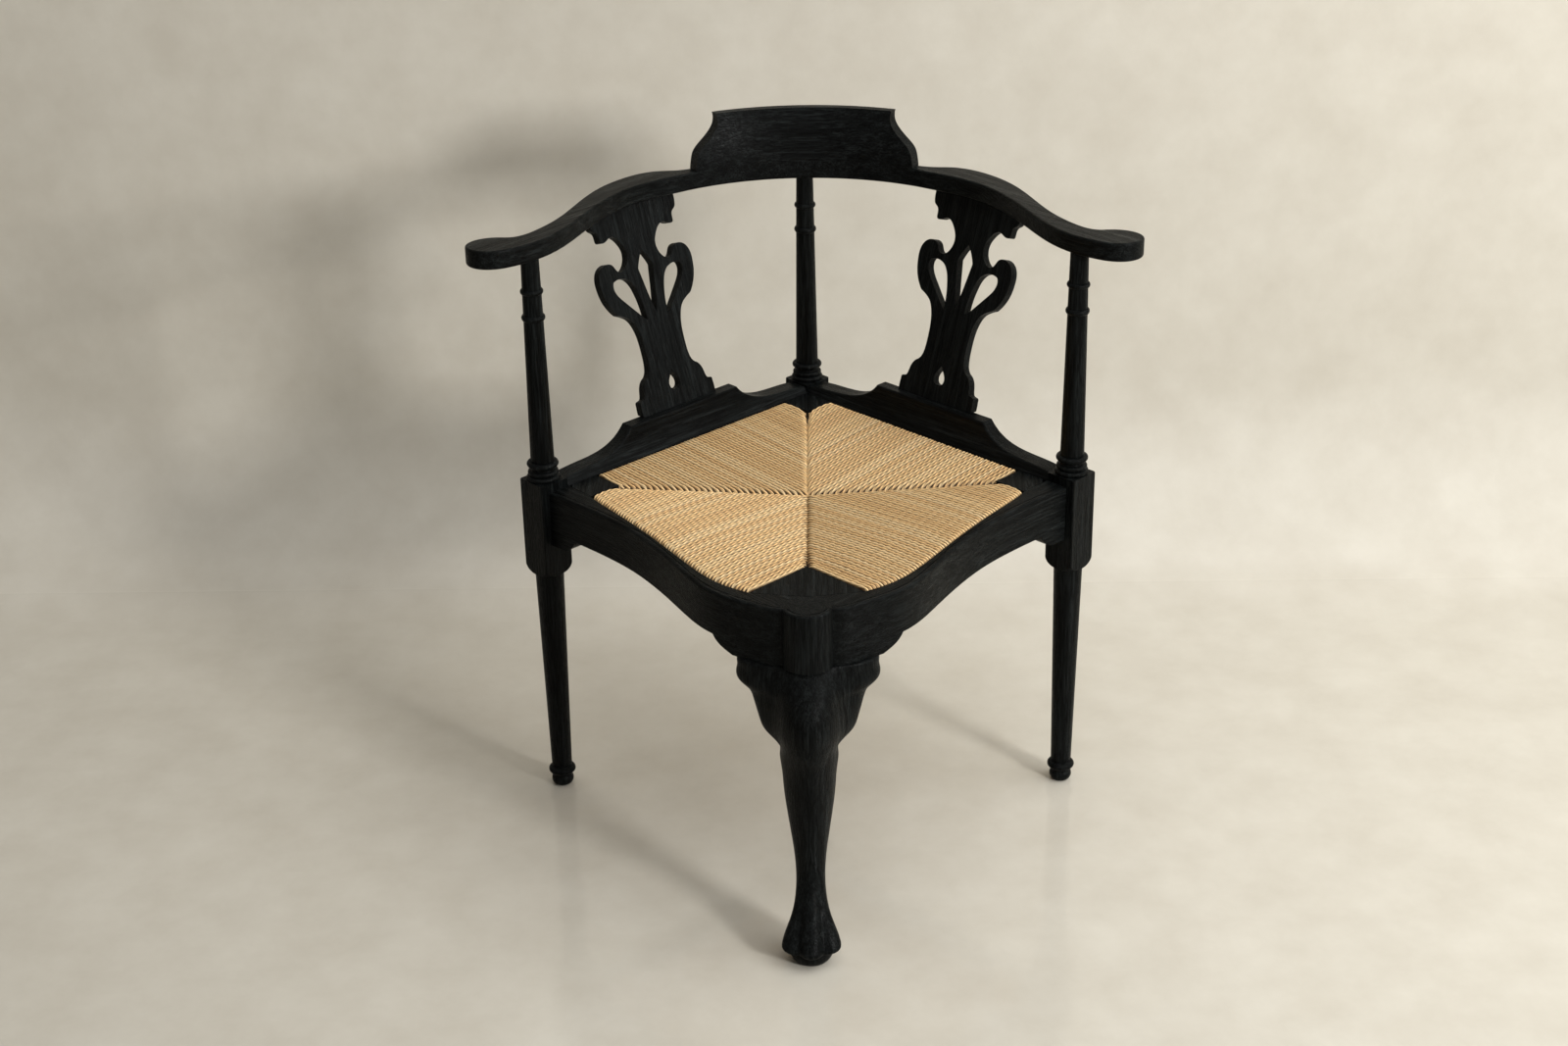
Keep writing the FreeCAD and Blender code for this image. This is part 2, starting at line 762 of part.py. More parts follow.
def whole_outline(half):
    """Closed wire from a right-hand half and its mirror image, joined where s is 0."""
    edges = [stretch(part) for part in half] + [stretch(part, -1) for part in half]
    first = half[0][0]
    last = half[-1][-1]
    for s, z in (first, last):
        if s > 0:
            edges.append(line(V(-s, 0, z), V(s, 0, z)))
    return Part.Wire(Part.sortEdges(edges)[0])


def lean(shape):
    """Lean a piece drawn upright outwards about the foot of the splat and move it to its place."""
    shape = shape.rotated(V(0, 0, shoe_top), V(1, 0, 0), -splat_lean)
    shape.translate(V(0, splat_foot_front, 0))
    return shape


def stretched(half):
    """Outline along the leaning board, from the heights it is drawn with."""
    drawn_height = splat_half[-1][-1][1]
    factor = splat_length / drawn_height
    return [[(s, shoe_top + height * factor) for s, height in part] for part in half]


def splat_tenon(end, play=0.0):
    """Tongue of the splat into the shoe (end -1) or the arm (end 1), in rail coordinates."""
    top = shoe_top + splat_length
    half = (splat_half[0][0][0] if end < 0 else splat_half[-1][-1][0]) - splat_tenon_inset
    front = (splat_thickness - splat_tenon_thickness) / 2
    length = splat_tenon_length + (mortise_end_gap if play else 0)
    low, high = (shoe_top - length, shoe_top + splat_spare) if end < 0 else (top - splat_spare, top + length)
    return lean(box(-half - play, half + play, front - play, front + splat_tenon_thickness + play, low, high))


def splat():
    """Pierced board, cut level where it stands on the shoe and meets the arm."""
    through = V(0, splat_thickness, 0)
    board = Part.Face(whole_outline(stretched(splat_half))).extrude(through)
    for half in (kite_hole, drop_hole):
        board = board.cut(Part.Face(whole_outline(stretched(half))).extrude(through))
    for sign in (1, -1):
        edges = [stretch(part, sign) for part in stretched(side_hole)]
        board = board.cut(Part.Face(Part.Wire(Part.sortEdges(edges)[0])).extrude(through))
    foot = splat_half[0][0][0]
    head = splat_half[-1][-1][0]
    top = shoe_top + splat_length
    longer = fuse_all([
        board,
        box(-foot, foot, 0, splat_thickness, shoe_top - splat_spare, shoe_top + splat_spare / 2),
        box(-head, head, 0, splat_thickness, top - splat_spare / 2, top + splat_spare),
    ])
    longer = lean(longer).cut(box(-far, far, 0, far, 0, shoe_top))
    longer = longer.cut(box(-far, far, 0, far, arm_underside, arm_underside + far))
    return to_back_left(fuse_all([longer, splat_tenon(-1), splat_tenon(1)]))


# Arms: plan of the left half as shares of post_offset, from the arc behind the sitter to the hand grip
# and back
arm_inner = [
    (-0.585, 0.705), (-0.686, 0.597), (-0.757, 0.468), (-0.815, 0.32), (-0.865, 0.172), (-0.917, 0.055),
    (-0.978, -0.031), (-1.046, -0.092), (-1.114, -0.126), (-1.175, -0.12), (-1.215, -0.083), (-1.225, -0.04),
]
arm_outer = [
    (-1.225, -0.04), (-1.206, 0.003), (-1.163, 0.034), (-1.111, 0.043), (-1.068, 0.043), (-1.031, 0.065),
    (-0.991, 0.117), (-0.948, 0.194), (-0.911, 0.283), (-0.877, 0.394), (-0.843, 0.508), (-0.803, 0.612),
    (-0.757, 0.695), (-0.702, 0.766), (-0.643, 0.818), (-0.578, 0.846), (-0.511, 0.852), (-0.449, 0.874),
    (-0.338, 0.951), (-0.185, 1.025),
]


def bow_point(radius, angle, z):
    """Point on the round back of the bow, on the left side of the middle."""
    turn = radians(angle)
    return V(-radius * sin(turn), bow_centre_y + radius * cos(turn), z)


def arm_edge():
    """Sawn edge of the arm from the round back, round the hand grip and back to the middle."""
    ease = 2.5
    outer = bow_inner_radius + bow_back_depth
    points = [bow_point(bow_inner_radius, bow_arc_angle + turn, 0) for turn in (0, ease)]
    points += [V(x * post_offset, y * post_offset, 0) for x, y in arm_inner + arm_outer[1:]]
    points += [bow_point(outer, ease, 0), bow_point(outer, 0, 0)]
    return curve(points)


def arm_outline(edge, inset, z):
    """Level outline of the arm, drawn in from its sawn edge by inset."""
    inner = bow_inner_radius + inset
    outer = bow_inner_radius + bow_back_depth - inset
    points = [bow_point(inner, bow_arc_angle, z)]
    for i in range(1, arm_edge_points):
        at = edge.getParameterByLength(edge.Length * i / arm_edge_points)
        along = edge.tangentAt(at)
        points.append(edge.valueAt(at) + V(along.y * inset, -along.x * inset, z))
    points.append(bow_point(outer, 0, z))
    round_back = Part.Arc(
        bow_point(inner, 0, z), bow_point(inner, bow_arc_angle / 2, z), bow_point(inner, bow_arc_angle, z),
    )
    sawn = in_stretches(curve(points), arm_stretches)
    return Part.Wire([round_back.toShape()] + sawn + [line(bow_point(outer, 0, z), bow_point(inner, 0, z))])


def arm_seat_for_crest():
    """Square-edged top of the bow under the crest rail."""
    low = V(0, bow_centre_y, arm_top - crest_seat_depth)
    ring = Part.makeCylinder(bow_inner_radius + crest_seat_depth, crest_seat_depth, low, UP)
    ring = ring.cut(Part.makeCylinder(bow_inner_radius, crest_seat_depth, low, UP))
    angle = radians(crest_angle)
    end = (-far * sin(angle), bow_centre_y + far * cos(angle))
    wedge = polygon([(0, bow_centre_y), end, (0, bow_centre_y + far)])
    return ring.common(extrude(wedge, 2 * far))


def crest_screw_places():
    """Where each crest screw's head lies, on the left side."""
    radius = bow_inner_radius + crest_thickness / 2
    return [bow_point(radius, angle, arm_underside + crest_screw_sink) for angle in crest_screw_angles]


def crest_screw_length():
    return arm_thickness - crest_screw_sink + crest_screw_bite


def crest_screw_solids():
    left = [aim(screw(crest_screw_length()), place, UP) for place in crest_screw_places()]
    return Part.Compound(left + [mirrored(one) for one in left])


def crest_screw_holes():
    hole = screw_hole(crest_screw_length(), crest_screw_sink + 1)
    left = [aim(hole, place, UP) for place in crest_screw_places()]
    return left + [mirrored(one) for one in left]


def left_arm():
    edge = arm_edge()
    levels = eased_levels(arm_underside, arm_top, arm_edge_rounding)
    body = Part.makeLoft([arm_outline(edge, inset, z) for inset, z in levels], True, True)
    body = body.fuse(arm_seat_for_crest()).removeSplitter()
    depth = post_tenon_length + mortise_end_gap + 1
    tenon = Part.makeCylinder(post_tenon_radius + joint_clearance, depth, V(0, 0, arm_underside - 1), UP)
    holes = [tenon.translated(V(-post_offset, 0, 0)), tenon.translated(V(0, post_offset, 0))]
    holes.append(to_back_left(splat_tenon(1, joint_clearance)))
    return cut_all(body, holes + crest_screw_holes())


# Crest rail
# Outline of its ends as (share of the way in from the foot to the top, share of the height)
crest_ogee = [
    (0, 0.0), (0.05, 0.18), (0.14, 0.32), (0.36, 0.45), (0.6, 0.56), (0.82, 0.68), (0.96, 0.8), (1.0, 0.9),
    (0.98, 1.0),
]


def crest_section():
    """Upright section of the crest rail, scooped in front and raked back."""
    inner = bow_inner_radius
    outer = inner + crest_thickness

    def at(radius, share):
        return V(radius, 0, arm_top + crest_height * share)

    front = [at(inner, 0), at(inner + 0.3, 0.14), at(inner + 4, 0.46), at(inner + 10.5, 0.8)]
    front.append(at(inner + crest_scoop, 1))
    back = [at(outer + crest_rake, 1), at(outer + crest_rake - 3, 0.7), at(outer + 1.5, 0.32), at(outer, 0)]
    return Part.Face(Part.Wire([
        curve(front), line(front[-1], back[0]), curve(back), line(back[-1], front[0]),
    ]))


def crest_end_cutter():
    """What is sawn off past the ogee at the left end, in line with the mean direction of the end."""
    middle_angle = (crest_angle + crest_top_angle) / 2
    radius = bow_inner_radius + crest_thickness
    swing = crest_angle - crest_top_angle
    points = []
    for share, level in crest_ogee:
        offset = radius * sin(radians(crest_angle - swing * share - middle_angle))
        points.append(V(offset, 0, arm_top + crest_height * level))
    above = crest_top + 5
    corners = [
        points[-1], V(points[-1].x, 0, above), V(crest_height, 0, above), V(crest_height, 0, arm_top),
        points[0],
    ]
    edges = [curve(points)] + [line(a, b) for a, b in zip(corners, corners[1:])]
    cutter = Part.Face(Part.Wire(edges)).extrude(V(0, far, 0))
    return cutter.rotated(ORIGIN, UP, -middle_angle)


def crest_rail():
    """Curved board on the bow, cut to an ogee at each end."""
    swept = crest_angle + crest_spare_angle
    board = crest_section().rotated(ORIGIN, UP, 90 - swept).revolve(ORIGIN, UP, 2 * swept)
    cutter = crest_end_cutter()
    board = cut_all(board, [cutter, mirrored(cutter)])
    return cut_all(board.translated(V(0, bow_centre_y, 0)), crest_screw_holes())


# Drop-in seat
def slip_left_half_wire(grow, z):
    """Plan of the left half of the seat, in chair coordinates."""
    points = [V(share * slip_half, slip_half + out + grow, z) for share, out in slip_front_edge]
    edge = to_front_left(curve(points))
    start = max((v.Point for v in edge.Vertexes), key=lambda p: p.y)
    finish = min((v.Point for v in edge.Vertexes), key=lambda p: p.y)
    corner = (slip_half + grow) * root_two - corner_block_chamfer
    front = -slip_half * root_two - front_block_nose - grow
    round_trip = [
        start, V(-corner, -corner_block_chamfer, z), V(-corner, corner_block_chamfer, z),
        V(-corner_block_chamfer, corner, z), V(0, corner, z), V(0, front, z), finish,
    ]
    return Part.Wire([edge] + [line(a, b) for a, b in zip(round_trip, round_trip[1:])])


def slip_prism(grow, bottom, top):
    """Whole plan of the drop-in seat between two heights, grown all round."""
    left = extrude(slip_left_half_wire(grow, bottom), top - bottom)
    return left.fuse(mirrored(left)).removeSplitter()


slip_sides = ("front_left", "front_right", "back_left", "back_right")
corner_turns = {"left": 135, "back": 45, "right": -45, "front": 225}


def to_side(shape, side):
    """From rail coordinates to a named side of the seat."""
    moved = to_front_left(shape) if side.startswith("front") else to_back_left(shape)
    return mirrored(moved) if side.endswith("right") else moved


def slip_tenon(side, end, play=0.0):
    inner = slip_half - corner_block_side / 2 - slip_tenon_width / 2
    depth = slip_tenon_length + (mortise_end_gap if play else 0)
    low, high = sorted((end * (block_edge - tenon_root), end * (block_edge + depth)))
    middle = (seat_floor + seat_height) / 2
    half = slip_tenon_thickness / 2 + play
    tenon = box(low, high, inner - play, inner + slip_tenon_width + play, middle - half, middle + half)
    return to_side(tenon, side)


def corner_block(corner):
    """Square block at a corner of the drop-in seat, which shows between the cords."""
    square = box(block_edge, far, block_edge, far, seat_floor, seat_height)
    block = slip_prism(0, seat_floor, seat_height).common(square.rotated(ORIGIN, UP, corner_turns[corner]))
    tenons = [slip_tenon(side, end, joint_clearance) for side in slip_sides for end in (1, -1)]
    return cut_all(block, tenons)


def slip_rail(side):
    """Rail inside the woven cord, with its outer edge sawn to the seat's outline."""
    inner = slip_half - cord_thickness - slip_rail_width
    low = seat_floor + cord_thickness
    top = low + slip_rail_thickness
    body = to_side(box(-block_edge, block_edge, inner, far, low, top), side)
    body = body.common(slip_prism(-cord_thickness, low, top))
    return fuse_all([body, slip_tenon(side, 1), slip_tenon(side, -1)])


def woven_plan(top):
    """Plan of the seat as thick as the cords lie on its rails, with its outer edge rounded."""
    soft = woven_edge_rounding
    slight = soft * 0.3
    levels = [
        (-soft, seat_floor), (-slight, seat_floor + slight), (0, seat_floor + soft), (0, top - soft),
        (-slight, top - slight), (-soft, top),
    ]
    left = Part.makeLoft([slip_left_half_wire(grow, z) for grow, z in levels], True, True)
    return left.fuse(mirrored(left)).removeSplitter()


def woven_roof(top):
    """Room under the top of one side's cords, which slopes down to the middle, in rail coordinates."""
    low = seat_floor - 5
    centre_top = seat_height - seat_dip
    slope_end = slip_half - seat_slope_margin
    corners = [(0, low), (0, centre_top), (slope_end, top), (far, top), (far, low)]
    wire = Part.makePolygon([V(-far, t, z) for t, z in corners + corners[:1]])
    return Part.Face(wire).extrude(V(2 * far, 0, 0))


def woven_panel(side, rails):
    """Closed solid of the cords of one side, sloping down to the seams on the diagonals."""
    top = seat_height + seat_crown
    end = block_edge - woven_gap
    lift = woven_gap * root_two
    wedge = polygon([(-end, end + lift), (0, lift), (end, end + lift), (end, far), (-end, far)])
    panel = woven_plan(top).common(to_side(extrude(wedge, far), side))
    return cut_all(panel.common(to_side(woven_roof(top), side)), rails)


# Blocks, bearers and screws inside the seat frame
def glue_block(corner):
    """Three-cornered block in the corner between two rails, with its thin tips cut off."""
    a = room_half
    sharp = a - glue_block_leg + glue_block_tip
    tip = a - glue_block_tip_width
    plan = [(a, a), (sharp, a), (sharp, tip), (tip, sharp), (a, sharp)]
    block = extrude(polygon(plan, glue_block_bottom), glue_block_height)
    return block.rotated(ORIGIN, UP, corner_turns[corner])


def glue_block_screws(maker):
    """Two screws for each block, each square to a rail."""
    made = []
    along = room_half - glue_block_leg * screw_along_share
    head = room_half - glue_block_leg * screw_head_share
    length = room_half - head + block_screw_bite
    middle = glue_block_bottom + glue_block_height / 2
    for turn in corner_turns.values():
        first = aim(maker(length), V(along, head, middle), V(0, 1, 0))
        second = aim(maker(length), V(head, along, middle), V(1, 0, 0))
        made += [first.rotated(ORIGIN, UP, turn), second.rotated(ORIGIN, UP, turn)]
    return made


def back_bearer():
    """Strip inside a back rail that the drop-in seat rests on."""
    half = room_half - glue_block_leg - bearer_end_gap
    top = seat_floor - seat_rest_gap
    return to_back_left(box(-half, half, room_half - bearer_width, room_half, top - bearer_height, top))


def bearer_screws(maker):
    """Three screws through each bearer into its back rail."""
    made = []
    half = room_half - glue_block_leg - bearer_end_gap
    length = bearer_width - bearer_screw_sink + bearer_screw_bite
    height = seat_floor - seat_rest_gap - bearer_height / 2
    for share in bearer_screw_shares:
        place = V(share * half, room_half - bearer_width + bearer_screw_sink, height)
        one = to_back_left(aim(maker(length), place, V(0, 1, 0)))
        made += [one, mirrored(one)]
    return made


def hole_maker(length):
    return screw_hole(length, screw_access)


# Putting the chair together
def build():
    pieces = {}
    mass = knee_mass()
    inside_holes = glue_block_screws(hole_maker) + bearer_screws(hole_maker)
    pieces["front_leg"] = front_leg(mass)
    for corner in ("left", "right", "back"):
        pieces[corner + "_leg"] = post(corner)
    front_rail = front_left_rail()
    back_rail = back_left_rail()
    pieces["front_left_rail"] = cut_all(front_rail, inside_holes)
    pieces["front_right_rail"] = cut_all(mirrored(front_rail), inside_holes)
    pieces["back_left_rail"] = cut_all(back_rail, inside_holes)
    pieces["back_right_rail"] = cut_all(mirrored(back_rail), inside_holes)
    pieces["left_knee_bracket"] = knee_bracket(mass)
    pieces["right_knee_bracket"] = mirrored(pieces["left_knee_bracket"])
    pieces["back_left_shoe"] = back_left_shoe()
    pieces["back_right_shoe"] = mirrored(pieces["back_left_shoe"])
    pieces["left_splat"] = splat()
    pieces["right_splat"] = pieces["left_splat"].rotated(ORIGIN, UP, -90)
    pieces["left_arm"] = left_arm()
    pieces["right_arm"] = mirrored(pieces["left_arm"])
    pieces["crest_rail"] = crest_rail()
    pieces["crest_screws"] = crest_screw_solids()
    for corner in corner_turns:
        pieces[corner + "_glue_block"] = cut_all(glue_block(corner), inside_holes)
    pieces["glue_block_screws"] = Part.Compound(glue_block_screws(screw))
    bearer = back_bearer()
    pieces["back_left_bearer"] = cut_all(bearer, inside_holes)
    pieces["back_right_bearer"] = cut_all(mirrored(bearer), inside_holes)
    pieces["bearer_screws"] = Part.Compound(bearer_screws(screw))
    rails = {side: slip_rail(side) for side in slip_sides}
    for side in slip_sides:
        pieces["slip_rail_" + side] = rails[side]
    for corner in corner_turns:
        pieces["slip_block_" + corner] = corner_block(corner)
    for side in slip_sides:
        pieces["woven_" + side] = woven_panel(side, list(rails.values()))
    return pieces


def export(pieces):
    os.makedirs("parts", exist_ok=True)
    extent = Part.Compound(list(pieces.values())).optimalBoundingBox(False)
    shift = V(0, -(extent.YMin + extent.YMax) / 2, 0)
    for name, shape in pieces.items():
        shape = shape.translated(shift)
        print(name, "solids", len(shape.Solids), "volume", round(shape.Volume), "valid", shape.isValid())
        shape.exportStep("parts/" + name + ".step")
    print("moved along Y by", round(shift.y, 3))


export(build())
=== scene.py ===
import random
from math import cos, exp, pi, radians, sin, sqrt

import bpy
from mathutils import Matrix, Vector
from mathutils.bvhtree import BVHTree


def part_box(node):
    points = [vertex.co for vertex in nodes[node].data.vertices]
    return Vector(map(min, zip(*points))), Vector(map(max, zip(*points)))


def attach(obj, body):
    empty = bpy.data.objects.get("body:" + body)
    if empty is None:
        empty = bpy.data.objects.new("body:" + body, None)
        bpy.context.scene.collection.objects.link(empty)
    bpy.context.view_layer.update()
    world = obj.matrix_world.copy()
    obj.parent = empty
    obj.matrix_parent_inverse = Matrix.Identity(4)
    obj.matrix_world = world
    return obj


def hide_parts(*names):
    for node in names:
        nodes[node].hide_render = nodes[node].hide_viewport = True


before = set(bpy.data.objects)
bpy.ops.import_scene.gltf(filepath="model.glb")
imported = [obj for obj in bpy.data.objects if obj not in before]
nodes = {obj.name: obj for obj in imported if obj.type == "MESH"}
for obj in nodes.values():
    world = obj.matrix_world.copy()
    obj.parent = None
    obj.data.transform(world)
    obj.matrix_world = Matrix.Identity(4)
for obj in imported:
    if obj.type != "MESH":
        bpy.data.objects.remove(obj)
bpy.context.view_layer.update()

MM = 0.001
ROOT_TWO = sqrt(2)

# The seat's middle lies between the left and right legs
left_low, left_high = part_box("left_leg")
SEAT_Y = (left_low.y + left_high.y) / 2

# Photograph's camera, solved from the chair's square plan and its upright posts
IMAGE_WIDTH_PX = 1600
FOCAL_PX = 2437
CAMERA_PLACE = Vector((0.015, SEAT_Y - 2.688, 1.632))
CAMERA_PITCH = radians(25.13)
CAMERA_ROLL = radians(-1.04)
CAMERA_YAW = radians(-0.95)
SENSOR_MM = 36

# Share of a lacquer's gloss that the oiled, open-grained oak has
OIL_GLOSS = 0.045

# Woven seat. The real cords lie about 4.2 mm apart, too fine to show, so they are drawn a quarter coarser
CORD_RADIUS = 2.5 * MM
CORD_LOBE = 0.19
CORD_LAY = 33.0 * MM
# Share of a turn by which a cord's plies may lie ahead of the next cord's
CORD_STAGGER = 0.16
CORDS_IN_PANEL = 62
CORDS_HALF_LENGTH = 164.0 * MM
CORD_RISE = 0.35 * MM
SEAM_GAP = 0.5 * MM
# How far the cords dip at a seam, and over what length: plain, diving under, and lying lower beside those
PLAIN_SEAM = (4.6 * MM, 2.4 * MM)
DIVING_SEAM = (7.5 * MM, 3.0 * MM)
LOWER_SEAM = (5.0 * MM, 6.0 * MM)
SEAM_ROOM = 14.0 * MM
SEAM_STEPS = (0, 0.5 * MM, 1.2 * MM, 2.8 * MM, 5.5 * MM, 10.0 * MM)
SEAM_INSET = 1.2 * MM
ROUTE_STEPS = 6
# Places outside the woven solids from which rays look for their surface
BEYOND_EDGE = 0.5
BELOW_SEAT = 0.3
ABOVE_SEAT = 0.5
SEAT_MIDDLE = 0.413
EDGE_BEND = 6.0 * MM
UNDER_TUCK = 9.0 * MM
CORNER_PULL = 4.5 * MM
CORNER_CORDS = 9


def linear(sRGB_hex):
    """Linear colour of an sRGB hex value."""
    parts = [int(sRGB_hex[i:i + 2], 16) / 255 for i in (1, 3, 5)]
    return tuple(c / 12.92 if c <= 0.04045 else ((c + 0.055) / 1.055) ** 2.4 for c in parts) + (1.0,)


def add(tree, kind, inputs=None, **settings):
    """Adds a node with its settings, and fills its inputs with values or links."""
    made = tree.nodes.new(kind)
    for name, value in settings.items():
        setattr(made, name, value)
    for key, value in (inputs or {}).items():
        if isinstance(value, bpy.types.NodeSocket):
            tree.links.new(value, made.inputs[key])
        else:
            made.inputs[key].default_value = value
    return made


def ramp(tree, factor, stops):
    """Colour ramp from (place, sRGB hex) stops."""
    made = add(tree, "ShaderNodeValToRGB", {"Fac": factor})
    elements = made.color_ramp.elements
    while len(elements) < len(stops):
        elements.new(0.5)
    for element, (place, colour) in zip(elements, stops):
        element.position = place
        element.color = linear(colour)
    return made.outputs["Color"]


def new_material(name):
    """Material with an empty shader, as (material, tree, shader)."""
    material = bpy.data.materials.new(name)
    material.use_nodes = True
    tree = material.node_tree
    shader = tree.nodes["Principled BSDF"]
    return material, tree, shader


# Materials
def stretched_noise(tree, along, length, width, **settings):
    """Noise drawn out along the grain: its marks are about as long and as wide as given."""
    scaled = add(tree, "ShaderNodeMapping", {"Vector": along, "Scale": (1 / length, 1 / width, 1 / width)})
    inputs = {"Vector": scaled.outputs["Vector"], "Scale": 1.0}
    inputs.update(settings)
    return add(tree, "ShaderNodeTexNoise", inputs).outputs["Fac"]


def along_grain(tree, grain, seed):
    """Object coordinates turned so that X runs along the grain, shifted for each board."""
    place = add(tree, "ShaderNodeTexCoord").outputs["Object"]
    turn = Vector(grain).normalized().rotation_difference(Vector((1, 0, 0))).to_euler()
    shift = (seed, seed * 0.37, 0)
    turned = add(tree, "ShaderNodeMapping", {"Vector": place, "Rotation": turn, "Location": shift})
    return turned.outputs["Vector"]


def black_oak(name, grain, seed):
    """Oak stained black and rubbed with a little oil: the open pores stay visible as short dark lines,
    the growth rings as slightly greyer, shinier bands, and the light catches the ridges between.
    The open grain scatters much of the gloss, so it shines less than a lacquer would. Real pores are
    0.3 mm wide, too fine to show, so they are drawn four times as wide."""
    material, tree, shader = new_material(name)
    along = along_grain(tree, grain, seed)
    rings = stretched_noise(tree, along, 240 * MM, 7 * MM, Detail=3.0, Roughness=0.55, Distortion=0.8)
    fibres = stretched_noise(tree, along, 80 * MM, 2.2 * MM, Detail=3.0, Roughness=0.65)
    pores = stretched_noise(tree, along, 26 * MM, 1.3 * MM, Detail=2.0, Roughness=0.6)
    figure = add(tree, "ShaderNodeMath", {0: rings, 1: fibres}, operation="ADD")
    level = add(tree, "ShaderNodeMapRange", {"Value": figure.outputs[0], "From Min": 0.75, "From Max": 1.25})
    tone = ramp(tree, level.outputs["Result"], [(0.0, "#060707"), (0.5, "#0F1111"), (1.0, "#1E2121")])
    open_pore = add(tree, "ShaderNodeMapRange", {
        "Value": pores, "From Min": 0.42, "From Max": 0.52, "To Min": 0.35, "To Max": 1.0})
    shade = add(tree, "ShaderNodeVectorMath", {
        0: tone, "Scale": open_pore.outputs["Result"]}, operation="SCALE")
    tree.links.new(shade.outputs["Vector"], shader.inputs["Base Color"])
    shader.inputs["Specular IOR Level"].default_value = OIL_GLOSS
    sheen = add(tree, "ShaderNodeMapRange", {
        "Value": level.outputs["Result"], "To Min": 0.44, "To Max": 0.26})
    tree.links.new(sheen.outputs["Result"], shader.inputs["Roughness"])
    relief = add(tree, "ShaderNodeMath", {0: open_pore.outputs["Result"], 1: fibres}, operation="ADD")
    bump = add(tree, "ShaderNodeBump", {"Height": relief.outputs[0], "Strength": 1.0, "Distance": 0.35 * MM})
    tree.links.new(bump.outputs["Normal"], shader.inputs["Normal"])
    return material


def plain_beech(name, grain, seed):
    """Unfinished beech inside the chair: pale, matte and even, with short flecks."""
    material, tree, shader = new_material(name)
    along = along_grain(tree, grain, seed)
    rings = stretched_noise(tree, along, 180 * MM, 4 * MM, Detail=4.0)
    flecks = stretched_noise(tree, along, 6 * MM, 0.8 * MM, Detail=1.0)
    figure = add(tree, "ShaderNodeMath", {0: rings, 1: flecks}, operation="ADD")
    level = add(tree, "ShaderNodeMapRange", {"Value": figure.outputs[0], "From Min": 0.7, "From Max": 1.3})
    tone = ramp(tree, level.outputs["Result"], [(0.0, "#A9835A"), (0.5, "#C09A6E"), (1.0, "#D0AE84")])
    tree.links.new(tone, shader.inputs["Base Color"])
    shader.inputs["Roughness"].default_value = 0.72
    bump = add(tree, "ShaderNodeBump", {"Height": flecks, "Strength": 0.2, "Distance": 0.1 * MM})
    tree.links.new(bump.outputs["Normal"], shader.inputs["Normal"])
    return material


def paper_cord():
    """Kraft paper twisted into three-ply cord: matte and straw-coloured, with painted shade in the grooves
    between the plies and where the cords touch, each length a little lighter or darker, with fine creases."""
    material, tree, shader = new_material("twisted_paper_cord")
    tint = add(tree, "ShaderNodeAttribute", attribute_name="cord_tint").outputs["Fac"]
    groove = add(tree, "ShaderNodeAttribute", attribute_name="cord_groove").outputs["Fac"]
    flank = add(tree, "ShaderNodeAttribute", attribute_name="cord_flank").outputs["Fac"]
    place = add(tree, "ShaderNodeTexCoord").outputs["Object"]
    crease = 0.9 * MM
    creases = add(tree, "ShaderNodeTexNoise", {"Vector": place, "Scale": 1 / crease, "Detail": 2.0})
    mixed = add(tree, "ShaderNodeMath", {0: tint, 1: creases.outputs["Fac"]}, operation="ADD")
    level = add(tree, "ShaderNodeMapRange", {"Value": mixed.outputs[0], "From Min": 0.3, "From Max": 1.7})
    tone = ramp(tree, level.outputs["Result"], [(0.0, "#DDB077"), (0.5, "#EFC78C"), (1.0, "#F8DAA8")])
    # Painted shade: the colour is darkened in the grooves between the plies and on the flanks where
    # neighbouring cords touch
    painted_ply_groove_shade = add(tree, "ShaderNodeMapRange", {
        "Value": groove, "From Min": 0.15, "To Min": 1.0, "To Max": 0.36})
    painted_cord_gap_shade = add(tree, "ShaderNodeMapRange", {
        "Value": flank, "From Min": 0.5, "From Max": 0.92, "To Min": 1.0, "To Max": 0.2})
    painted_groove_shade = add(tree, "ShaderNodeMath", {
        0: painted_ply_groove_shade.outputs["Result"], 1: painted_cord_gap_shade.outputs["Result"]}, operation="MULTIPLY")
    shade = add(tree, "ShaderNodeVectorMath", {0: tone, "Scale": painted_groove_shade.outputs[0]}, operation="SCALE")
    tree.links.new(shade.outputs["Vector"], shader.inputs["Base Color"])
    shader.inputs["Roughness"].default_value = 0.72
    bump = add(tree, "ShaderNodeBump", {
        "Height": creases.outputs["Fac"], "Strength": 0.25, "Distance": 0.15 * MM})
    tree.links.new(bump.outputs["Normal"], shader.inputs["Normal"])
    return material


def stuffing_painted_gap_shade():
    """Brown card stuffed between the cord layers, drawn dark as painted shade where it shows in the gaps
    between the cords.
    """
    material, tree, shader = new_material("card_stuffing_painted_gap_shade")
    place = add(tree, "ShaderNodeTexCoord").outputs["Object"]
    patch = 6 * MM
    patches = add(tree, "ShaderNodeTexNoise", {"Vector": place, "Scale": 1 / patch, "Detail": 3.0})
    # Painted shade: this dark brown stands for the shade in the gaps between the cords
    tone = ramp(tree, patches.outputs["Fac"], [(0.3, "#2C1F12"), (0.7, "#46331E")])
    tree.links.new(tone, shader.inputs["Base Color"])
    shader.inputs["Roughness"].default_value = 0.85
    return material


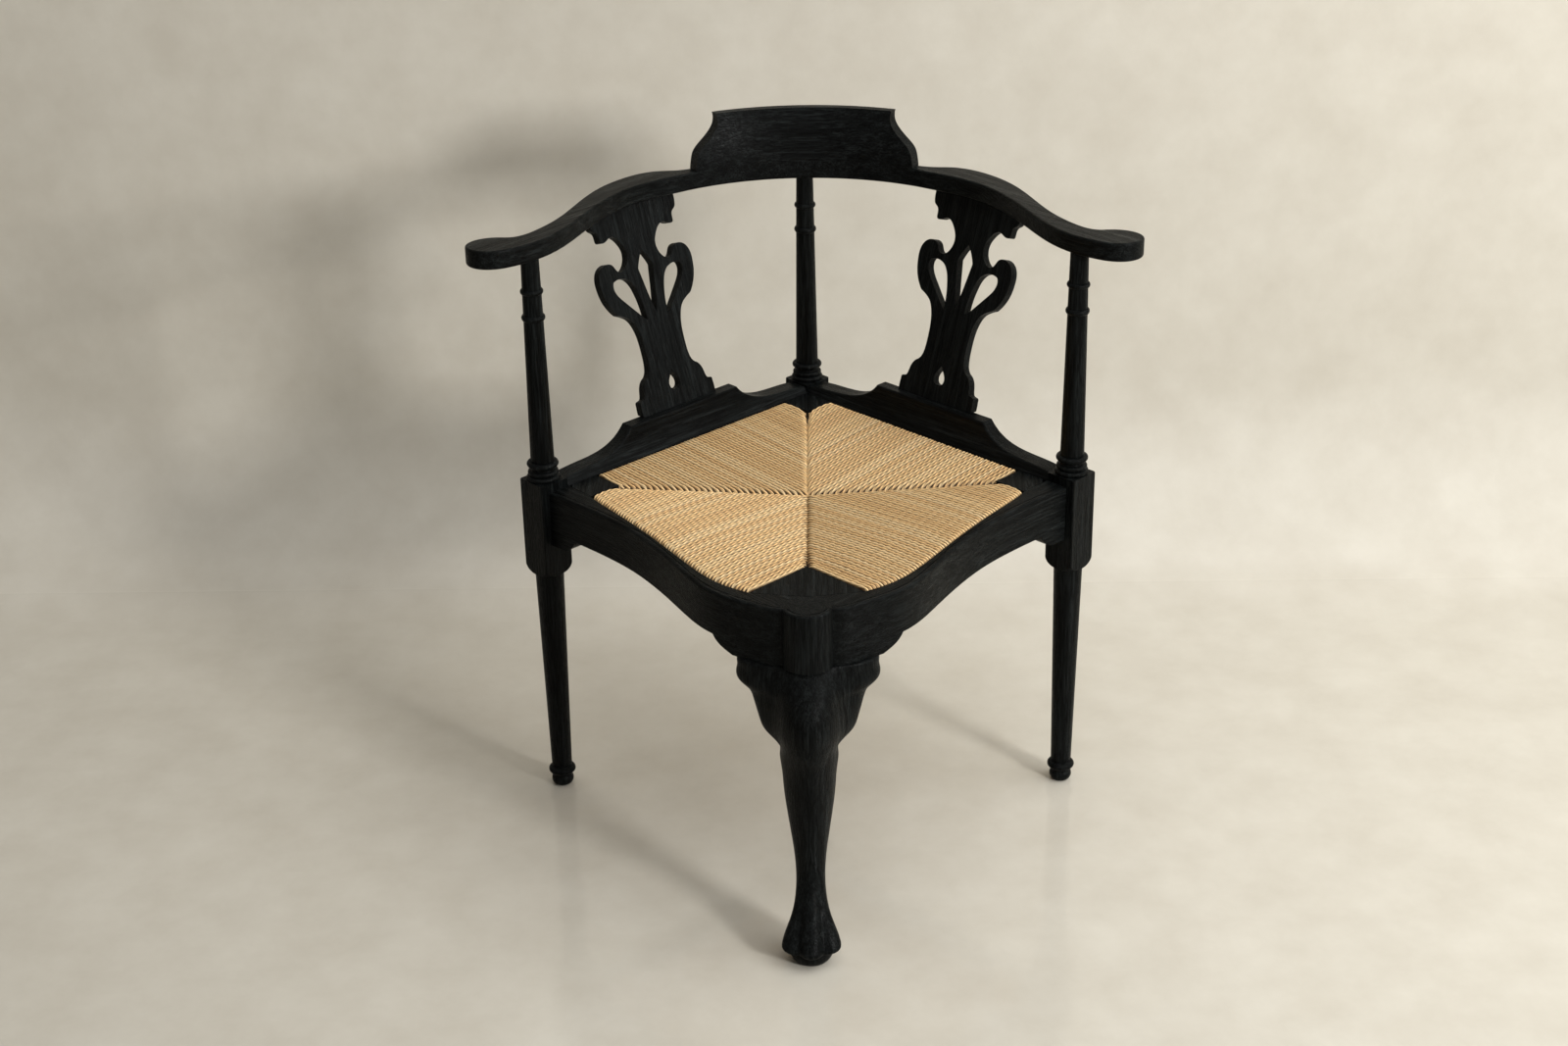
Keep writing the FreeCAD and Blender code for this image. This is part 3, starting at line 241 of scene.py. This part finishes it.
def bright_steel():
    """Zinc-bright steel of the wood screws, lightly scratched by the driver."""
    material, tree, shader = new_material("zinc_plated_steel")
    place = add(tree, "ShaderNodeTexCoord").outputs["Object"]
    scratch = 1.2 * MM
    scratches = add(tree, "ShaderNodeTexNoise", {"Vector": place, "Scale": 1 / scratch, "Detail": 3.0})
    rough = add(tree, "ShaderNodeMapRange", {
        "Value": scratches.outputs["Fac"], "To Min": 0.25, "To Max": 0.45})
    tree.links.new(rough.outputs["Result"], shader.inputs["Roughness"])
    tone = ramp(tree, scratches.outputs["Fac"], [(0.3, "#A7A8A6"), (0.7, "#BDBDBA")])
    tree.links.new(tone, shader.inputs["Base Color"])
    shader.inputs["Metallic"].default_value = 1.0
    return material


def paper_backdrop():
    """Backdrop of painted paper: faintly mottled, matte where it hangs and polished underfoot, so that
    the floor mirrors the legs a little. It is clear from behind, so that the chair's back can be seen."""
    material, tree, shader = new_material("painted_paper_backdrop")
    place = add(tree, "ShaderNodeTexCoord").outputs["Object"]
    patch = 90 * MM
    mottle = add(tree, "ShaderNodeTexNoise", {
        "Vector": place, "Scale": 1 / patch, "Detail": 6.0, "Roughness": 0.62})
    tone = ramp(tree, mottle.outputs["Fac"], [(0.3, "#CAC4B7"), (0.7, "#D4CFC3")])
    tree.links.new(tone, shader.inputs["Base Color"])
    height = add(tree, "ShaderNodeSeparateXYZ", {0: place}).outputs["Z"]
    rough = add(tree, "ShaderNodeMapRange", {
        "Value": height, "From Max": 60 * MM, "To Min": 0.1, "To Max": 0.75})
    tree.links.new(rough.outputs["Result"], shader.inputs["Roughness"])
    bump = add(tree, "ShaderNodeBump", {
        "Height": mottle.outputs["Fac"], "Strength": 0.12, "Distance": 4 * MM})
    tree.links.new(bump.outputs["Normal"], shader.inputs["Normal"])
    from_behind = add(tree, "ShaderNodeNewGeometry").outputs["Backfacing"]
    clear = add(tree, "ShaderNodeBsdfTransparent").outputs["BSDF"]
    one_sided = add(tree, "ShaderNodeMixShader", {0: from_behind, 1: shader.outputs["BSDF"], 2: clear})
    tree.links.new(one_sided.outputs["Shader"], tree.nodes["Material Output"].inputs["Surface"])
    return material


# Grain runs along each piece
UPRIGHT = (0, 0, 1)
TO_RIGHT = (1, 0, 0)
TO_BACK = (0, 1, 0)
RISING_RIGHT = (1, 1, 0)
RISING_LEFT = (-1, 1, 0)


def dress_frame():
    """Gives each rigid node the finish and the grain direction of the real piece."""
    oak_pieces = {
        "black_oak_upright": (UPRIGHT, ["left_leg", "right_leg", "back_leg", "front_leg", "left_knee_bracket",
                                        "right_knee_bracket"]),
        "black_oak_left_front_and_right_back": (RISING_LEFT, ["front_left_rail", "back_right_rail",
                                                              "back_right_shoe"]),
        "black_oak_right_front_and_left_back": (RISING_RIGHT, ["front_right_rail", "back_left_rail",
                                                               "back_left_shoe"]),
        "black_oak_left_splat": ((-0.22, 0.22, 0.95), ["left_splat"]),
        "black_oak_right_splat": ((0.22, 0.22, 0.95), ["right_splat"]),
        "black_oak_left_arm": ((0.66, 0.75, 0), ["left_arm"]),
        "black_oak_right_arm": ((-0.66, 0.75, 0), ["right_arm"]),
        "black_oak_crest": (TO_RIGHT, ["crest_rail"]),
        "black_oak_seat_blocks": (TO_BACK, ["slip_block_left", "slip_block_right", "slip_block_back",
                                            "slip_block_front"]),
    }
    for seed, (name, (grain, pieces)) in enumerate(oak_pieces.items()):
        finish = black_oak(name, grain, 0.31 * seed)
        for piece in pieces:
            give(nodes[piece], finish)
    beech_pieces = {
        "beech_across": (TO_RIGHT, ["front_glue_block", "back_glue_block"]),
        "beech_to_back": (TO_BACK, ["left_glue_block", "right_glue_block"]),
        "beech_rising_left": (RISING_LEFT, ["slip_rail_front_left", "slip_rail_back_right",
                                            "back_right_bearer"]),
        "beech_rising_right": (RISING_RIGHT, ["slip_rail_front_right", "slip_rail_back_left",
                                              "back_left_bearer"]),
    }
    for seed, (name, (grain, pieces)) in enumerate(beech_pieces.items()):
        finish = plain_beech(name, grain, 0.23 * seed)
        for piece in pieces:
            give(nodes[piece], finish)
    steel = bright_steel()
    for piece in ("crest_screws", "glue_block_screws", "bearer_screws"):
        give(nodes[piece], steel)


def give(obj, material):
    """Replaces every material slot of an object."""
    obj.data.materials.clear()
    obj.data.materials.append(material)


# Woven seat
def panel_point(side, s, t, z):
    """From a panel's own coordinates, s along its rail and t outwards, to the chair's."""
    if side.startswith("front"):
        x, y = -(s + t) / ROOT_TWO, (s - t) / ROOT_TWO
    else:
        x, y = (s - t) / ROOT_TWO, (s + t) / ROOT_TWO
    if side.endswith("right"):
        x = -x
    return Vector((x, y + SEAT_Y, z))


def panel_skin(side):
    """Surface of the panel's solid, on which the cords are laid."""
    mesh = nodes["woven_" + side].data
    points = [v.co.copy() for v in mesh.vertices]
    return BVHTree.FromPolygons(points, [tuple(p.vertices) for p in mesh.polygons])


def seam_shape(side, s):
    """Dip of the cords at the seam where they end. Across the middle of the seat the back panels' cords
    dive under, and the front panels' lie a little lower beside them."""
    if side.startswith("back"):
        return DIVING_SEAM if s < 0 else PLAIN_SEAM
    return LOWER_SEAM if s > 0 else PLAIN_SEAM


def cord_route(side, skin, s):
    """Route of one cord's middle as (t, z) points: along the top from the seam, over the edge and back
    below."""
    outward = panel_point(side, 0, 1, 0) - panel_point(side, 0, 0, 0)
    hit = skin.ray_cast(panel_point(side, s, BEYOND_EDGE, SEAT_MIDDLE), -outward)
    edge = BEYOND_EDGE - hit[3]
    start = abs(s) + SEAM_GAP
    last = edge - EDGE_BEND

    def surface(t, upwards):
        origin = panel_point(side, s, t, BELOW_SEAT if upwards else ABOVE_SEAT)
        return skin.ray_cast(origin, Vector((0, 0, 1 if upwards else -1)))[0].z

    dip, dip_length = seam_shape(side, s)
    crowding = min(1, (last - start) / SEAM_ROOM)
    route = []
    for ahead in SEAM_STEPS:
        t = start + ahead * crowding
        z = surface(max(t, start + SEAM_INSET), False) - CORD_RADIUS
        route.append((t, z - dip * exp(-ahead / dip_length)))
    near = route[-1][0]
    for i in range(1, ROUTE_STEPS + 1):
        t = near + (last - near) * i / ROUTE_STEPS
        route.append((t, surface(t, False) - CORD_RADIUS))
    top = surface(last, False)
    low = surface(last, True)
    bend = EDGE_BEND - CORD_RADIUS
    for angle in (30, 60, 90):
        route.append((last + bend * sin(radians(angle)), top - EDGE_BEND + bend * cos(radians(angle))))
    for angle in (0, 30, 60, 90):
        route.append((last + bend * cos(radians(angle)), low + EDGE_BEND - bend * sin(radians(angle))))
    return route, last, start, low


def lines_mesh(name, runs):
    """Mesh of open runs of points, with edges only."""
    points = [p for run in runs for p in run]
    edges = []
    first = 0
    for run in runs:
        edges += [(first + i, first + i + 1) for i in range(len(run) - 1)]
        first += len(run)
    mesh = bpy.data.meshes.new(name)
    mesh.from_pydata(points, edges, [])
    obj = bpy.data.objects.new(name, mesh)
    bpy.context.scene.collection.objects.link(obj)
    return obj


def cord_tree(material):
    """Geometry nodes that wind a three-ply cord along each line, twisted to the left, with its plies a
    little before or behind its neighbour's."""
    tree = bpy.data.node_groups.new("three_ply_cord", "GeometryNodeTree")
    sockets = tree.interface
    sockets.new_socket("Geometry", in_out="INPUT", socket_type="NodeSocketGeometry")
    for name in ("Radius", "Lobe", "Lay", "Stagger", "Step"):
        sockets.new_socket(name, in_out="INPUT", socket_type="NodeSocketFloat")
    sockets.new_socket("Sides", in_out="INPUT", socket_type="NodeSocketInt")
    sockets.new_socket("Across", in_out="INPUT", socket_type="NodeSocketVector")
    sockets.new_socket("Geometry", in_out="OUTPUT", socket_type="NodeSocketGeometry")
    given = add(tree, "NodeGroupInput").outputs
    lines = add(tree, "GeometryNodeMeshToCurve", {"Mesh": given["Geometry"]})
    tint = add(tree, "FunctionNodeRandomValue", {"Seed": 7}, data_type="FLOAT")
    tinted = add(tree, "GeometryNodeStoreNamedAttribute", {
        "Geometry": lines.outputs["Curve"], "Name": "cord_tint", "Value": tint.outputs[1]},
        data_type="FLOAT", domain="CURVE")
    even = add(tree, "GeometryNodeResampleCurve", {
        "Curve": tinted.outputs["Geometry"], "Length": given["Step"]}, mode="LENGTH")
    run = add(tree, "GeometryNodeSplineParameter").outputs["Length"]
    turns = add(tree, "ShaderNodeMath", {0: run, 1: given["Lay"]}, operation="DIVIDE")
    own = add(tree, "GeometryNodeInputNamedAttribute", {"Name": "cord_tint"}, data_type="FLOAT")
    ahead = add(tree, "ShaderNodeMath", {
        0: own.outputs["Attribute"], 1: given["Stagger"]}, operation="MULTIPLY")
    turns = add(tree, "ShaderNodeMath", {0: turns.outputs[0], 1: ahead.outputs[0]}, operation="ADD")
    angle = add(tree, "ShaderNodeMath", {0: turns.outputs[0], 1: -2 * pi}, operation="MULTIPLY")
    twisted = add(tree, "GeometryNodeSetCurveTilt", {
        "Curve": even.outputs["Curve"], "Tilt": angle.outputs[0]})
    place = add(tree, "GeometryNodeInputPosition").outputs["Position"]
    centred = add(tree, "GeometryNodeStoreNamedAttribute", {
        "Geometry": twisted.outputs["Curve"], "Name": "cord_middle", "Value": place},
        data_type="FLOAT_VECTOR", domain="POINT")
    ring = add(tree, "GeometryNodeCurvePrimitiveCircle", {
        "Resolution": given["Sides"], "Radius": given["Radius"]})
    parts = add(tree, "ShaderNodeSeparateXYZ", {0: place})
    around = add(tree, "ShaderNodeMath", {0: parts.outputs["Y"], 1: parts.outputs["X"]}, operation="ARCTAN2")
    plies = 3.0
    wave = add(tree, "ShaderNodeMath", {0: around.outputs[0], 1: plies}, operation="MULTIPLY")
    wave = add(tree, "ShaderNodeMath", {0: wave.outputs[0]}, operation="COSINE")
    wave = add(tree, "ShaderNodeMath", {0: wave.outputs[0], 1: 1.0}, operation="SUBTRACT")
    # Depth into the grooves between the plies; the cord material paints shade there
    groove = add(tree, "ShaderNodeMath", {0: wave.outputs[0], 1: -0.5}, operation="MULTIPLY")
    depth = add(tree, "ShaderNodeMath", {0: wave.outputs[0], 1: given["Lobe"]}, operation="MULTIPLY")
    shift = add(tree, "ShaderNodeVectorMath", {0: place, "Scale": depth.outputs[0]}, operation="SCALE")
    marked = add(tree, "GeometryNodeStoreNamedAttribute", {
        "Geometry": ring.outputs["Curve"], "Name": "cord_groove", "Value": groove.outputs[0]},
        data_type="FLOAT", domain="POINT")
    lobed = add(tree, "GeometryNodeSetPosition", {
        "Geometry": marked.outputs["Geometry"], "Offset": shift.outputs["Vector"]})
    tube = add(tree, "GeometryNodeCurveToMesh", {
        "Curve": centred.outputs["Geometry"], "Profile Curve": lobed.outputs["Geometry"], "Fill Caps": True})
    middle = add(tree, "GeometryNodeInputNamedAttribute", {"Name": "cord_middle"}, data_type="FLOAT_VECTOR")
    from_middle = add(tree, "ShaderNodeVectorMath", {
        0: place, 1: middle.outputs["Attribute"]}, operation="SUBTRACT")
    # Share of the radius out towards the flank; the cord material paints shade there, where the cords touch
    sideways = add(tree, "ShaderNodeVectorMath", {
        0: from_middle.outputs["Vector"], 1: given["Across"]}, operation="DOT_PRODUCT")
    sideways = add(tree, "ShaderNodeMath", {0: sideways.outputs["Value"]}, operation="ABSOLUTE")
    flank = add(tree, "ShaderNodeMath", {0: sideways.outputs[0], 1: given["Radius"]}, operation="DIVIDE")
    flanked = add(tree, "GeometryNodeStoreNamedAttribute", {
        "Geometry": tube.outputs["Mesh"], "Name": "cord_flank", "Value": flank.outputs[0]},
        data_type="FLOAT", domain="POINT")
    bare = add(tree, "GeometryNodeRemoveAttribute", {
        "Geometry": flanked.outputs["Geometry"], "Name": "cord_middle"})
    real = add(tree, "GeometryNodeRealizeInstances", {"Geometry": bare.outputs["Geometry"]})
    finished = add(tree, "GeometryNodeSetMaterial", {
        "Geometry": real.outputs["Geometry"], "Material": material})
    add(tree, "NodeGroupOutput", {"Geometry": finished.outputs["Geometry"]})
    return tree


def wind_cords(name, runs, tree, across, lobe, step, sides):
    """Plain mesh of cords wound along the runs, which lie side by side in the direction given."""
    lines = lines_mesh(name + "_lines", runs)
    winding = lines.modifiers.new("cords", "NODES")
    winding.node_group = tree
    values = {"Radius": CORD_RADIUS, "Lobe": lobe, "Lay": CORD_LAY, "Stagger": CORD_STAGGER, "Step": step,
              "Sides": sides, "Across": across}
    for item in tree.interface.items_tree:
        if item.in_out == "INPUT" and item.name in values:
            winding[item.identifier] = values[item.name]
    bpy.context.view_layer.update()
    evaluated = lines.evaluated_get(bpy.context.evaluated_depsgraph_get())
    mesh = bpy.data.meshes.new_from_object(evaluated)
    mesh.name = name
    bpy.data.objects.remove(lines)
    obj = bpy.data.objects.new(name, mesh)
    bpy.context.scene.collection.objects.link(obj)
    mesh.shade_smooth()
    return obj


def backing(name, side, routes, material):
    """Skin behind the cords, at their middles, so that nothing shows between them; with its dark stuffing it
    is painted shade in the gaps.
    """
    rows = [[panel_point(side, s, t, z) for t, z in route] for s, route in routes]
    points = [p for row in rows for p in row]
    width = len(rows[0])
    faces = []
    for i in range(len(rows) - 1):
        for j in range(width - 1):
            a = i * width + j
            faces.append((a, a + 1, a + width + 1, a + width))
    mesh = bpy.data.meshes.new(name)
    mesh.from_pydata(points, [], faces)
    obj = bpy.data.objects.new(name, mesh)
    bpy.context.scene.collection.objects.link(obj)
    give(obj, material)
    return obj


def weave_panel(side, tree, gap_shade_stuffing):
    """One side of the seat: cords laid side by side over the rail, from seam to seam."""
    skin = panel_skin(side)
    loose = random.Random(side)
    pitch = 2 * CORDS_HALF_LENGTH / CORDS_IN_PANEL
    over, under, routes = [], [], []
    for i in range(CORDS_IN_PANEL):
        s = (i + 0.5) * pitch - CORDS_HALF_LENGTH
        route, last, start, low = cord_route(side, skin, s)
        sway = loose.uniform(-0.2, 0.2) * MM
        rise = loose.uniform(-1, 1) ** 3 * CORD_RISE
        from_corner = min(i, CORDS_IN_PANEL - 1 - i)
        pull = CORNER_PULL * max(0, 1 - from_corner / CORNER_CORDS) ** 2 * (-1 if s > 0 else 1)
        run = []
        for t, z in route:
            along = min((t - start) / (last - start), 1)
            bent = s + sway * sin(pi * along) + pull * (2 * along - 1) ** 2 * (1 - 0.5 * along)
            run.append(panel_point(side, bent, t, z + rise * sin(pi * along)))
        tuck = max(last - UNDER_TUCK, start)
        run.append(panel_point(side, s + pull / 2, tuck, low + CORD_RADIUS))
        over.append(run[::-1])
        if tuck > start + 2 * MM:
            under.append([panel_point(side, s, t, low + CORD_RADIUS) for t in (tuck, start)])
        routes.append((s, route + [(start, low + CORD_RADIUS)]))
    across = panel_point(side, 1, 0, 0) - panel_point(side, 0, 0, 0)
    above = wind_cords("cords_" + side, over, tree, across, CORD_LOBE, 1.7 * MM, 11)
    below = wind_cords("cords_under_" + side, under, tree, across, 0.0, 6.0 * MM, 6)
    # Dark backing behind the cords: painted shade in the gaps between them
    back = backing("backing_" + side, side, routes, gap_shade_stuffing)
    for piece in (above, below, back):
        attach(piece, "slip_seat")
    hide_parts("woven_" + side)


def weave_seat():
    tree = cord_tree(paper_cord())
    gap_shade_stuffing = stuffing_painted_gap_shade()
    for side in ("front_left", "front_right", "back_left", "back_right"):
        weave_panel(side, tree, gap_shade_stuffing)


# Studio
def backdrop():
    """Pale sweep: a floor that curves up into a wall behind the chair."""
    front, back, bend, top, half = -4.0, 0.76, 0.28, 3.0, 4.5
    arc_steps = 16
    profile = [(front, 0.0), (back - bend, 0.0)]
    for i in range(1, arc_steps + 1):
        angle = pi / 2 * i / arc_steps
        profile.append((back - bend + bend * sin(angle), bend - bend * cos(angle)))
    profile.append((back, top))
    points, faces = [], []
    for y, z in profile:
        points += [(-half, y, z), (half, y, z)]
    for i in range(len(profile) - 1):
        a = 2 * i
        faces.append((a, a + 1, a + 3, a + 2))
    mesh = bpy.data.meshes.new("sweep")
    mesh.from_pydata(points, [], faces)
    mesh.shade_smooth()
    obj = bpy.data.objects.new("sweep", mesh)
    bpy.context.scene.collection.objects.link(obj)
    give(obj, paper_backdrop())


def lamp(name, place, target, size, power, colour):
    """Soft square light that looks at a point."""
    data = bpy.data.lights.new(name, "AREA")
    data.shape = "SQUARE"
    data.size = size
    data.energy = power
    data.color = linear(colour)[:3]
    obj = bpy.data.objects.new(name, data)
    obj.location = place
    obj.rotation_euler = (Vector(target) - Vector(place)).to_track_quat("-Z", "Y").to_euler()
    bpy.context.scene.collection.objects.link(obj)


def light_studio():
    seat = (0, 0, 0.45)
    lamp("window", (3.3, -3.3, 2.0), seat, 0.8, 150, "#FEFDFB")
    lamp("curtain", (2.3, -0.6, 2.6), seat, 2.4, 60, "#FAFBFB")
    lamp("ceiling", (0.1, -0.1, 3.0), seat, 2.6, 36, "#FCFBFA")
    world = bpy.data.worlds.new("room")
    bpy.context.scene.world = world
    world.use_nodes = True
    tree = world.node_tree
    room = tree.nodes["Background"]
    room.inputs["Color"].default_value = linear("#EEECE8")
    room.inputs["Strength"].default_value = 0.08
    seen = add(tree, "ShaderNodeBackground", {"Color": linear("#DDD8CE"), "Strength": 0.7})
    ray = add(tree, "ShaderNodeLightPath")
    seen_through = add(tree, "ShaderNodeMath", {
        0: ray.outputs["Is Camera Ray"], 1: ray.outputs["Is Transmission Ray"]}, operation="MAXIMUM")
    seen_or_mirrored = add(tree, "ShaderNodeMath", {
        0: seen_through.outputs[0], 1: ray.outputs["Is Glossy Ray"]}, operation="MAXIMUM")
    mixed = add(tree, "ShaderNodeMixShader", {
        0: seen_or_mirrored.outputs[0], 1: room.outputs["Background"], 2: seen.outputs["Background"]})
    tree.links.new(mixed.outputs["Shader"], tree.nodes["World Output"].inputs["Surface"])


def photo_camera():
    """Camera where the photographer stood, with the photograph's frame."""
    forward = Vector((
        sin(CAMERA_YAW) * cos(CAMERA_PITCH), cos(CAMERA_YAW) * cos(CAMERA_PITCH), -sin(CAMERA_PITCH)))
    level_right = Vector((cos(CAMERA_YAW), -sin(CAMERA_YAW), 0))
    level_up = level_right.cross(forward)
    right = cos(CAMERA_ROLL) * level_right + sin(CAMERA_ROLL) * level_up
    up = -sin(CAMERA_ROLL) * level_right + cos(CAMERA_ROLL) * level_up
    data = bpy.data.cameras.new("photograph")
    data.sensor_fit = "HORIZONTAL"
    data.sensor_width = SENSOR_MM
    data.lens = FOCAL_PX / IMAGE_WIDTH_PX * SENSOR_MM
    data.clip_end = 50
    obj = bpy.data.objects.new("photograph", data)
    columns = Matrix((right, up, -forward)).transposed().to_4x4()
    obj.matrix_world = Matrix.Translation(CAMERA_PLACE) @ columns
    bpy.context.scene.collection.objects.link(obj)
    bpy.context.scene.camera = obj


photo_camera()
dress_frame()
weave_seat()
backdrop()
light_studio()
bpy.context.scene.view_settings.view_transform = "Standard"
